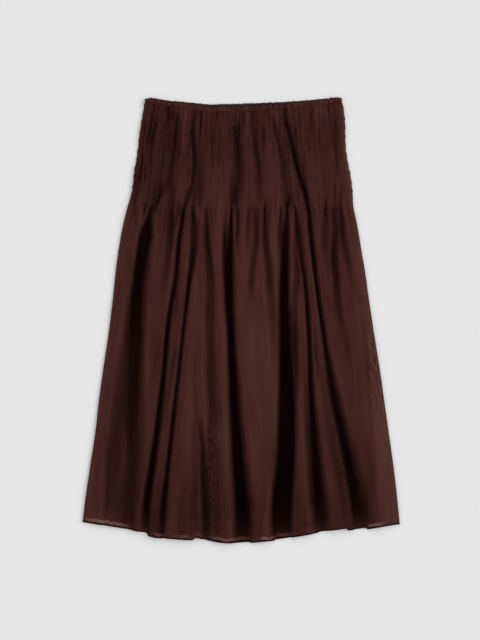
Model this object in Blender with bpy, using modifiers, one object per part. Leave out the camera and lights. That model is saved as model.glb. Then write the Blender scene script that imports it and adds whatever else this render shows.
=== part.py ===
"""Midi skirt laid flat, front up: an elastic casing, a pintucked yoke and soft folds down to a narrow hem.

Metres, +Z up, +Y towards the waist, +X to the right as seen from above. The origin is on the
surface, under the middle of the skirt. The back panel lies on the surface with its outer side
down, and the front panel lies on the back panel. Tables are in millimetres.
"""

from collections import namedtuple
from math import pi, radians

import bpy
import numpy as np

MM = 0.001
GAP = 0.3  # between neighbouring pieces, mm

# Cloth, mm
FRONT_WALL = 1.0
BACK_WALL = 1.0
HEM_WALL = 1.4
HEM_WIDTH = 3.0
CASING_HEIGHT = 9.0
CASING_WALL = 2.2
CASING_EDGE = 1.3  # the casing is thinner along its folded edge and its seam
BACK_HEM_RISE_SIDE = 9.0  # the back hem ends this far short of the front hem at the sides
BACK_HEM_RISE_MIDDLE = 5.0
WAIST_DIP = 5.8  # the front waist edge hangs this far below the back one
WAIST_DIP_MIDDLE = -33.0
WAIST_DIP_REACH = 144.0

# Pintucks, mm
TUCK_HEIGHT = 1.7
TUCK_CREST = 0.13  # where the ridge's crest and its far foot lie in one tuck's pitch
TUCK_FOOT = 0.27
LAP_ARCH = 0.6  # how far the cloth between two tucks bulges
GATHER_HEIGHT = 0.9  # the same gathers where the casing draws them in
BACK_RIPPLE = 0.3  # the back casing's gathers, pressed flat under the front one
RELEASE = 206.8  # the stitching of the tucks ends at this Y
FLARE = 75.0  # a released tuck spreads and fades over this length
FLARE_SWELL = 0.5  # and first swells by this share
SHOULDER = 0.25  # share of a hollow's depth that falls away gently, which rounds the crests
SHOULDER_REACH = 2.6  # and how many flank widths it takes

# The outline and the height of the fold crests at each section, waist to hem
Section = namedtuple("Section", "y left right crest")
SECTIONS = (
    Section(y=399.4, left=-170.0, right=180.0, crest=1.5),
    Section(y=352.6, left=-179.0, right=186.5, crest=2.5),
    Section(y=287.8, left=-188.0, right=192.0, crest=3.5),
    Section(y=244.6, left=-193.5, right=199.0, crest=4.0),
    Section(y=206.8, left=-204.0, right=201.0, crest=4.5),
    Section(y=158.2, left=-213.5, right=211.5, crest=6.5),
    Section(y=93.4, left=-225.0, right=222.5, crest=8.5),
    Section(y=-14.6, left=-236.5, right=236.5, crest=10.0),
    Section(y=-144.2, left=-254.0, right=256.5, crest=10.5),
    Section(y=-273.8, left=-272.0, right=274.5, crest=9.5),
    Section(y=-367.4, left=-284.0, right=284.0, crest=7.5),
)
EDGE_HEIGHT = 0.12  # share of the crest left at the side edges
EDGE_REACH = 38.0  # and the distance over which it rises

# The hollows between the soft folds. x is where a hollow runs at each station, depth is the share
# of the crest height it takes away there, floor and flank are its flat bottom and one slope.
STATIONS = (399.4, RELEASE, 107.8, -90.2, -387.2)
Fold = namedtuple("Fold", "name x depth floor flank")
FOLDS = (
    Fold("left_wide", (-140, -160, -181, -196, -206), (0, 0.6, 0.98, 0.85, 0.5), (14, 10), (12, 30)),
    Fold("left_twin_a", (-95, -100, -116, -140, -170), (0.3, 0.6, 0.9, 1.0, 1.0), (2, 3), (7, 9)),
    Fold("left_twin_b", (-82, -86, -87, -111, -141), (0.5, 0.5, 0.9, 0.95, 0.9), (2, 4), (8, 8)),
    Fold("left_gentle", (-60, -64, -57, -53, -58), (0, 0.2, 0.6, 0.6, 0.7), (2, 14), (10, 16)),
    Fold("middle", (-6, -13, -17, -13, 3), (0.6, 0.7, 1.0, 1.0, 1.0), (5, 13), (9, 18)),
    Fold("short_a", (28, 26, 24, 19, 19), (0.4, 0.3, 0.35, 0, 0), (2, 2), (7, 7)),
    Fold("short_b", (42, 42, 48, 57, 57), (0, 0.45, 0.5, 0, 0), (2, 2), (7, 9)),
    Fold("right_wide", (66, 84, 82, 81, 75), (0.3, 0.6, 1.0, 1.0, 1.0), (6, 36), (8, 12)),
    Fold("right_twin_a", (92, 97, 111, 125, 143), (0, 0.5, 0.9, 0.95, 0.9), (2, 5), (5, 14)),
    Fold("right_twin_b", (73, 118, 130, 158, 214), (0.8, 0.9, 0.9, 0.95, 0.95), (3, 9), (7, 15)),
    Fold("short_c", (150, 154, 164, 176, 176), (0, 0.5, 0.2, 0, 0), (2, 2), (6, 6)),
    Fold("short_d", (160, 168, 172, 181, 181), (0, 0.5, 0.5, 0, 0), (2, 2), (7, 9)),
    Fold("short_e", (172, 181, 194, 202, 202), (0, 0.5, 0.35, 0, 0), (2, 2), (6, 8)),
)

# Tucks between one long fold and the next, left to right, and the grid columns each tuck gets
Band = namedtuple("Band", "ends_at tucks columns_each")
BANDS = (
    Band("left_wide", 4, 4),
    Band("left_twin_a", 6, 3),
    Band("left_twin_b", 2, 4),
    Band("left_gentle", 2, 6),
    Band("middle", 5, 4),
    Band("right_wide", 10, 3),
    Band("right_twin_a", 2, 6),
    Band("right_twin_b", 2, 6),
    Band("right edge", 8, 3),
)

# The back waist edge
WaistPoint = namedtuple("WaistPoint", "x y")
WAIST = (
    WaistPoint(-170, 398.5),
    WaistPoint(-159, 400.3),
    WaistPoint(-130, 395.5),
    WaistPoint(-102, 393.1),
    WaistPoint(-58, 388.3),
    WaistPoint(-1, 389.9),
    WaistPoint(85, 393.5),
    WaistPoint(129, 396.7),
    WaistPoint(172, 401.4),
    WaistPoint(180, 400.1),
)

# The front hem: each lobe's left end, the hem's Y at its two ends and how far its middle sags
HemLobe = namedtuple("HemLobe", "left y_left y_right belly")
HEM_LOBES = (
    HemLobe(-284.0, -363.0, -381.8, 0.0),
    HemLobe(-167.5, -388.3, -396.5, 1.0),
    HemLobe(-83.0, -393.1, -399.2, 4.0),
    HemLobe(17.0, -400.8, -396.7, 0.0),
    HemLobe(62.0, -393.7, -384.1, 0.5),
    HemLobe(141.5, -381.4, -375.3, 0.0),
    HemLobe(193.5, -378.0, -373.3, 0.0),
    HemLobe(228.5, -375.8, -366.5, 0.0),
)
HEM_STEP = 3.0  # width of the step from one lobe to the next
HEM_ARC_SIDE = -366.0  # a smooth arc through the lobes, which the rows above the hem follow
HEM_ARC_MIDDLE = -399.0
HALF_HEM = 284.0

# Rows of the front panel: shares of the yoke's height, then of the length below the release
YOKE_ROWS = (0.0, 0.22, 0.48, 0.74, 1.0)
SKIRT_ROWS = (0.025, 0.07, 0.13, 0.22, 0.33, 0.46, 0.6, 0.74, 0.87, 0.95, 1.0)
LIFT_AT_HEM = 0.4  # the front rides over the thicker back hem
LIFT_AT_WAIST = 1.2  # and up to the middle of the casing
LIFT_REACH = 28.0

CLOTH_BROWN = (0.052, 0.0150, 0.0108, 1.0)
HEM_BROWN = (0.040, 0.0120, 0.0090, 1.0)
CASING_BROWN = (0.047, 0.0145, 0.0108, 1.0)
INSIDE_BROWN = (0.036, 0.0170, 0.0140, 1.0)


def through(stations, values, at):
    """A smooth curve through values given at stations (falling Y), read at the places `at`."""
    places = np.asarray(stations, float)[::-1]
    heights = np.asarray(values, float)[::-1]
    slopes = np.gradient(heights, places)
    at = np.clip(at, places[0], places[-1])
    left = np.clip(np.searchsorted(places, at, side="right") - 1, 0, len(places) - 2)
    span = places[left + 1] - places[left]
    t = (at - places[left]) / span
    ease = t * t * (3 - 2 * t)
    out = heights[left] * (1 - ease) + heights[left + 1] * ease
    out += slopes[left] * span * t * (1 - t) ** 2
    return out - slopes[left + 1] * span * t * t * (1 - t)


def eased(t):
    t = np.clip(t, 0, 1)
    return t * t * (3 - 2 * t)


def section(column, y):
    """One column of the SECTIONS table at height y."""
    return through([s.y for s in SECTIONS], [getattr(s, column) for s in SECTIONS], y)


def fold_x(fold, y):
    return through(STATIONS, fold.x, y)


def fold_depth(fold, y):
    return np.clip(np.interp(-y, -np.array(STATIONS), fold.depth), 0, 1)


def below_release(y):
    """0 at the release line, 1 at the hem."""
    return np.clip((RELEASE - y) / (RELEASE - STATIONS[-1]), 0, 1)


def hollow(fold, x, y):
    """1 on the floor of a hollow, falling to 0 up its flanks."""
    down = below_release(y)
    floor = fold.floor[0] + (fold.floor[1] - fold.floor[0]) * down
    flank = fold.flank[0] + (fold.flank[1] - fold.flank[0]) * down
    off = (np.abs(x - fold_x(fold, y)) - floor / 2) / flank
    steep = 0.5 + 0.5 * np.cos(pi * np.clip(off, 0, 1))
    gentle = 0.5 + 0.5 * np.cos(pi * np.clip(off / SHOULDER_REACH, 0, 1))
    return steep + SHOULDER * (gentle - steep)


def fold_height(x, y):
    """Height of the folded cloth over the valley floors: the crest height less every hollow."""
    height = section("crest", y)
    for fold in FOLDS:
        height = height * (1 - fold_depth(fold, y) * hollow(fold, x, y))
    from_edge = np.minimum(x - section("left", y), section("right", y) - x)
    return height * (EDGE_HEIGHT + (1 - EDGE_HEIGHT) * eased(from_edge / EDGE_REACH))


def waist_y(x):
    """Y of the back waist edge."""
    return np.interp(x, [p.x for p in WAIST], [p.y for p in WAIST])


def front_waist_y(x):
    """Y of the front waist edge, which dips below the back one in the middle."""
    off = np.clip((x - WAIST_DIP_MIDDLE) / WAIST_DIP_REACH, -1, 1)
    return waist_y(x) - WAIST_DIP * (0.5 + 0.5 * np.cos(pi * off))


def hem_arc(x):
    return HEM_ARC_MIDDLE + (HEM_ARC_SIDE - HEM_ARC_MIDDLE) * (x / HALF_HEM) ** 2


def hem_y(x):
    """Y of the front hem, lobe by lobe, with a step where one fold ends over the next."""
    rights = [lobe.left for lobe in HEM_LOBES[1:]] + [HALF_HEM]
    out = np.full_like(x, HEM_LOBES[0].y_left)
    for lobe, right in zip(HEM_LOBES, rights):
        share = np.clip((x - lobe.left) / (right - HEM_STEP - lobe.left), 0, 1)
        line = lobe.y_left + (lobe.y_right - lobe.y_left) * share - lobe.belly * np.sin(pi * share)
        out = out + (line - out) * eased((x - lobe.left + HEM_STEP) / HEM_STEP)
    return out


def back_hem_y(x):
    rise = BACK_HEM_RISE_MIDDLE
    rise = rise + (BACK_HEM_RISE_SIDE - BACK_HEM_RISE_MIDDLE) * (x / HALF_HEM) ** 2
    return hem_arc(x) + rise


def guide_lines(y):
    """x of the side edges and the long folds at each y. Above the release they fan to the waist."""
    left, right = section("left", y), section("right", y)
    lines = [left]
    for band in BANDS[:-1]:
        fold = next(f for f in FOLDS if f.name == band.ends_at)
        start = section("left", RELEASE)
        share = (fold.x[1] - start) / (section("right", RELEASE) - start)
        lines.append(np.where(y > RELEASE, left + share * (right - left), fold_x(fold, y)))
    return np.stack(lines + [right])


def tuck_columns():
    """For each grid column: its band, and its place in the band while tucked and when released."""
    rows = []
    for number, band in enumerate(BANDS):
        spare = band.columns_each - 3
        laps = TUCK_FOOT + (1 - TUCK_FOOT) * np.arange(1, spare + 1) / (spare + 1)
        phases = np.concatenate([(0, TUCK_CREST, TUCK_FOOT), laps])
        for tuck in range(band.tucks):
            for step, phase in enumerate(phases):
                even = (tuck + step / band.columns_each) / band.tucks
                rows.append((number, (tuck + phase) / band.tucks, even, phase))
    rows.append((len(BANDS) - 1, 1.0, 1.0, 0.0))
    return np.array(rows)


COLUMNS = tuck_columns()


def column_x(y, columns):
    """x of the grid columns at heights y (rows, columns)."""
    lines = guide_lines(y)
    band = columns[:, 0].astype(int)
    spread = eased((RELEASE - y) / FLARE)
    place = columns[:, 1] + (columns[:, 2] - columns[:, 1]) * spread
    index = np.arange(len(columns))
    start = lines[band, :, index].T
    end = lines[band + 1, :, index].T
    return start + (end - start) * place


def tuck_profile(columns):
    """Height of a stitched tuck across its pitch: a narrow ridge, then a low arch to the next."""
    phase = columns[:, 3]
    ridge = np.interp(phase, (0, TUCK_CREST, TUCK_FOOT), (0, 1, 0), right=0)
    lap = np.clip((phase - TUCK_FOOT) / (1 - TUCK_FOOT), 0, 1)
    return TUCK_HEIGHT * ridge + LAP_ARCH * np.sin(pi * lap)


def tuck_strength(y):
    """1 where the tucks are stitched, swelling a little and fading once they are released."""
    down = (RELEASE - y) / FLARE
    swell = FLARE_SWELL * np.sin(pi * np.clip(down * 2, 0, 1))
    return (1 + swell) * (1 - eased(down))


def under_side(x, z, wall):
    """The points one wall thickness inside a section line, square to it."""
    dx = np.gradient(x, axis=1)
    dz = np.gradient(z, axis=1)
    length = np.hypot(dx, dz)
    return x + wall * dz / length, z - wall * dx / length


def front_base(y, waist, hem):
    """z of the front panel's inner side on a valley floor."""
    to_hem = np.exp(-(y - hem) / LIFT_REACH)
    to_waist = np.exp(-(waist - y) / LIFT_REACH)
    return BACK_WALL + GAP + LIFT_AT_HEM * to_hem + LIFT_AT_WAIST * to_waist


def front_sheet(shares_below, columns):
    """x, y and the plain (untucked) outer z of the front cloth, waist row first."""
    at_hem = column_x(np.full((1, len(columns)), STATIONS[-1]), columns)[0]
    at_waist = column_x(np.full((1, len(columns)), STATIONS[0]), columns)[0]
    top = front_waist_y(at_waist) - CASING_HEIGHT - GAP
    yoke = np.array(YOKE_ROWS)[:, None] * (RELEASE - top) + top
    below = np.array(shares_below)[:, None]
    skirt = RELEASE + below * (hem_arc(at_hem) - RELEASE)
    skirt = skirt + below**8 * (hem_y(at_hem) - hem_arc(at_hem))
    y = np.concatenate([yoke, skirt])
    x = column_x(y, columns)
    z = front_base(y, top, hem_y(at_hem)) + FRONT_WALL + fold_height(x, y)
    return x, y, z


def wall_object(name, upper, lower, material):
    """A closed wall between an upper and a lower grid of points, (rows, columns, 3) in mm."""
    rows, columns = upper.shape[:2]
    ids = np.arange(rows * columns).reshape(rows, columns)
    under = ids + rows * columns

    def quads(a, b, c, d):
        return np.stack([a, b, c, d], axis=-1).reshape(-1, 4)

    faces = np.concatenate(
        [
            quads(ids[:-1, :-1], ids[1:, :-1], ids[1:, 1:], ids[:-1, 1:]),
            quads(under[:-1, :-1], under[:-1, 1:], under[1:, 1:], under[1:, :-1]),
            quads(ids[0, :-1], ids[0, 1:], under[0, 1:], under[0, :-1]),
            quads(ids[-1, :-1], under[-1, :-1], under[-1, 1:], ids[-1, 1:]),
            quads(ids[:-1, 0], under[:-1, 0], under[1:, 0], ids[1:, 0]),
            quads(ids[:-1, -1], ids[1:, -1], under[1:, -1], under[:-1, -1]),
        ]
    )
    points = np.concatenate([upper.reshape(-1, 3), lower.reshape(-1, 3)]) * MM
    mesh = bpy.data.meshes.new(name)
    mesh.from_pydata(points.tolist(), [], faces.tolist())
    return finished(name, mesh, material)


def finished(name, mesh, material):
    """Smooth shading with crisp edges, the material, and a place in the skirt's collection."""
    mesh.shade_smooth()
    mesh.set_sharp_from_angle(angle=radians(50))
    mesh.materials.append(material)
    made = bpy.data.objects.new(name, mesh)
    skirt.objects.link(made)
    return made


def cloth(name, colour, roughness):
    material = bpy.data.materials.new(name)
    material.use_nodes = True
    shader = material.node_tree.nodes["Principled BSDF"]
    shader.inputs["Base Color"].default_value = colour
    shader.inputs["Roughness"].default_value = roughness
    shader.inputs["Metallic"].default_value = 0.0
    material.diffuse_color = colour
    return material


def grid(x, y, z):
    return np.stack(np.broadcast_arrays(x, y, z), axis=-1)


def build_front():
    """The front panel, tucked and folded, and the narrow hem that is turned along its edge."""
    x, y, z = front_sheet(SKIRT_ROWS, COLUMNS)
    tucks = tuck_profile(COLUMNS) * tuck_strength(y)
    inner_x, inner_z = under_side(x, z, FRONT_WALL)
    panel_y = y.copy()
    panel_y[-1] += HEM_WIDTH + GAP
    upper = grid(x, panel_y, z + tucks)
    lower = grid(inner_x, panel_y, inner_z)
    wall_object("front_panel", upper, lower, cloth("front_voile", CLOTH_BROWN, 0.62))

    proud = (HEM_WALL - FRONT_WALL) / 2
    hem_y_pair = np.stack([y[-1] + HEM_WIDTH, y[-1]])
    out_x, out_z = under_side(x[-1:], z[-1:], -proud)
    in_x, in_z = under_side(x[-1:], z[-1:], FRONT_WALL + proud)
    wall_object(
        "front_hem",
        grid(out_x, hem_y_pair, out_z),
        grid(in_x, hem_y_pair, in_z),
        cloth("front_hem_voile", HEM_BROWN, 0.66),
    )


def flat_piece(name, x, y, wall, material):
    """A piece that lies on the surface: its outline as one open sheet, thickened upwards."""
    rows, columns = x.shape
    ids = np.arange(rows * columns).reshape(rows, columns)
    faces = np.stack([ids[:-1, :-1], ids[1:, :-1], ids[1:, 1:], ids[:-1, 1:]], axis=-1)
    mesh = bpy.data.meshes.new(name)
    points = grid(x, y, 0.0).reshape(-1, 3) * MM
    mesh.from_pydata(points.tolist(), [], faces.reshape(-1, 4).tolist())
    made = finished(name, mesh, material)
    thicken = made.modifiers.new("cloth", "SOLIDIFY")
    thicken.thickness = wall * MM
    thicken.offset = 1.0
    return made


def build_back():
    """The back panel and its hem, flat where they rest."""
    share = np.linspace(0, 1, 25)[None, :]
    down = np.linspace(0, 1, 17)[:, None]
    at_waist = section("left", STATIONS[0]) * (1 - share) + section("right", STATIONS[0]) * share
    at_hem = HALF_HEM * (2 * share - 1)
    top = waist_y(at_waist) - CASING_HEIGHT - GAP
    end = back_hem_y(at_hem)
    y = top + down * (end + HEM_WIDTH + GAP - top)
    x = section("left", y) * (1 - share) + section("right", y) * share
    flat_piece("back_panel", x, y, BACK_WALL, cloth("back_voile", CLOTH_BROWN, 0.64))
    y = np.concatenate([end + HEM_WIDTH, end])
    x = section("left", y) * (1 - share) + section("right", y) * share
    flat_piece("back_hem", x, y, HEM_WALL, cloth("back_hem_voile", HEM_BROWN, 0.66))


def casing_rows(top):
    """Y and wall thickness of the casing's rows, from its folded edge down to its seam."""
    shares = np.array((0.0, 0.25, 0.8, 1.0))[:, None]
    walls = np.array((CASING_EDGE, CASING_WALL, CASING_WALL, CASING_EDGE))[:, None]
    return top - shares * CASING_HEIGHT, walls


def build_casings():
    """The front half of the casing, gathered by the tucks that run up into it, and the back half."""
    columns = COLUMNS[COLUMNS[:, 3] <= TUCK_FOOT]
    at_waist = column_x(np.full((1, len(columns)), STATIONS[0]), columns)
    gathers = GATHER_HEIGHT * (columns[:, 3] == TUCK_CREST)
    material = cloth("casing_voile", CASING_BROWN, 0.66)
    y, wall = casing_rows(front_waist_y(at_waist))
    middle = CASING_WALL + BACK_RIPPLE + GAP + CASING_WALL / 2
    front_top = grid(at_waist, y, middle + wall / 2 + gathers)
    front_under = grid(at_waist, y, middle - wall / 2)
    wall_object("front_casing", front_top, front_under, material)

    share = np.linspace(0, 1, 2 * sum(band.tucks for band in BANDS) + 1)[None, :]
    x = section("left", STATIONS[0]) * (1 - share) + section("right", STATIONS[0]) * share
    ripples = BACK_RIPPLE * (np.arange(share.size) % 2)
    y, wall = casing_rows(waist_y(x))
    inside = cloth("casing_inside_voile", INSIDE_BROWN, 0.7)
    wall_object("back_casing", grid(x, y, wall + ripples), grid(x, y, 0.0), inside)


for old in list(bpy.data.objects):
    bpy.data.objects.remove(old)
skirt = bpy.data.collections.new("midi_skirt")
bpy.context.scene.collection.children.link(skirt)
build_back()
build_front()
build_casings()
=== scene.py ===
import math
import bpy
import numpy as np
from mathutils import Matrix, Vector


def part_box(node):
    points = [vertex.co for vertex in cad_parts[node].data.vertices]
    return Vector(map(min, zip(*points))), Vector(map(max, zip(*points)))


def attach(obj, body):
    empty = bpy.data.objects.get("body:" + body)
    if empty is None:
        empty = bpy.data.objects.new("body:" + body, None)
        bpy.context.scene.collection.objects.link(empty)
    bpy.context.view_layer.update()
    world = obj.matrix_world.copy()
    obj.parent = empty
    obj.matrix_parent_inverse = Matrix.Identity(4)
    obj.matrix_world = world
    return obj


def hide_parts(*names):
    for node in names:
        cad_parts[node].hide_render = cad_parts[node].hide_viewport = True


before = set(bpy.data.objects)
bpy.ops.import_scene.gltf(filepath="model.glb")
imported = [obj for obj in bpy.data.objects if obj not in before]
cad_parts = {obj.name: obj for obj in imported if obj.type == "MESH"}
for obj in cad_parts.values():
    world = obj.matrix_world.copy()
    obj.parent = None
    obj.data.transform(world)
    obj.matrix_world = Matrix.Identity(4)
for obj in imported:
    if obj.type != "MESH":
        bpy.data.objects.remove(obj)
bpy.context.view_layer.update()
print("stage: frame loaded")

mm = 0.001  # the tables below are in millimetres, +x right, +y to the waist
rng = np.random.default_rng(11)

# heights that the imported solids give: where the back panel and hem end and the front cloth starts
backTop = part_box("back_panel")[1].z / mm
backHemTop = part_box("back_hem")[1].z / mm
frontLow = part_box("front_panel")[0].z / mm
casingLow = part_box("front_casing")[0].z / mm

outline = {  # side edges and crest height of the folds, from the waist down to the hem
    "y": (399.4, 378.0, 352.6, 323.0, 287.8, 269.8, 242.8, 224.8, 206.8, 183.4, 158.2, 125.8, 93.4, 35.8,
          -14.6, -90.2, -144.2, -198.2, -273.8, -324.2, -367.4),
    "left": (-172.6, -175.6, -180.0, -184.0, -188.4, -192.0, -194.6, -198.0, -203.3, -209.3, -214.8,
             -220.3, -224.7, -230.8, -237.0, -248.2, -255.6, -261.6, -273.0, -280.3, -285.2),
    "right": (181.2, 184.6, 187.2, 187.6, 191.2, 195.0, 199.4, 200.9, 201.6, 206.3, 211.1,
              216.4, 222.0, 230.2, 237.7, 249.8, 257.3, 265.0, 275.4, 281.2, 285.2),
    "crest": (1.5, 2.0, 2.5, 3.0, 3.5, 3.7, 4.0, 4.2, 4.5, 5.5, 6.5, 7.5, 8.5, 9.3,
              10.0, 10.4, 10.5, 10.1, 9.5, 8.7, 7.5),
    "edgeShare": 0.12,
    "edgeReach": 38.0,
    "halfHem": 284.0,
    # the gathered edges of the yoke wave by about this much, over these lengths, down to the release
    "wobble": 0.55,
    "wobbleWaves": (2.6, 1.7),
    "wobbleSecond": 0.7,
    "wobbleTurn": 2.0,
    "wobbleReach": 40.0,
}

waistLine = {  # the back waist edge, and how far the front one dips below it
    "x": (-173, -168, -159, -130, -102, -58, -1, 85, 129, 172, 180),
    "y": (398.4, 400.0, 400.3, 395.5, 393.1, 388.3, 389.9, 393.5, 396.7, 401.4, 400.1),
    "dip": 6.0,
    "dipMiddle": 10.0,
    "dipReach": 200.0,
    "dipFlat": 0.55,
    "casingHeight": 9.0,  # from the waist edge to where the cloth starts
    "gap": 0.3,
    "tuckedIn": 1.0,
}

hemLine = {  # each lobe of the front hem: left end, y at its ends, sag of its middle
    "left": (-284.0, -167.5, -141.0, -83.0, 17.0, 62.0, 141.5, 193.5, 228.5),
    "yLeft": (-363.0, -387.0, -391.0, -389.5, -399.9, -394.2, -379.8, -377.6, -375.8),
    "yRight": (-382.0, -392.4, -395.3, -398.3, -396.5, -381.9, -373.9, -373.0, -366.9),
    "belly": (-1.2, 0.2, 0.0, 5.5, -0.8, 0.2, 0.0, 0.0, -0.7),
    "step": 2.6,
    "arcSide": -366.0,
    "arcMiddle": -399.0,
    "width": 3.0,
    "backRiseSide": 9.0,
    "backRiseMiddle": 5.0,
    "backGap": 2.5,
    "endPower": 8,      # how late the lengthwise lines bend to the wavy hem
}

release = 206.8  # y where the stitching of the tucks ends
levelTop, levelHem = 399.4, -387.2
levels = (212, 153, 72, -36, -144, -252, -333, -392)  # heights at which the long folds are given

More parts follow.
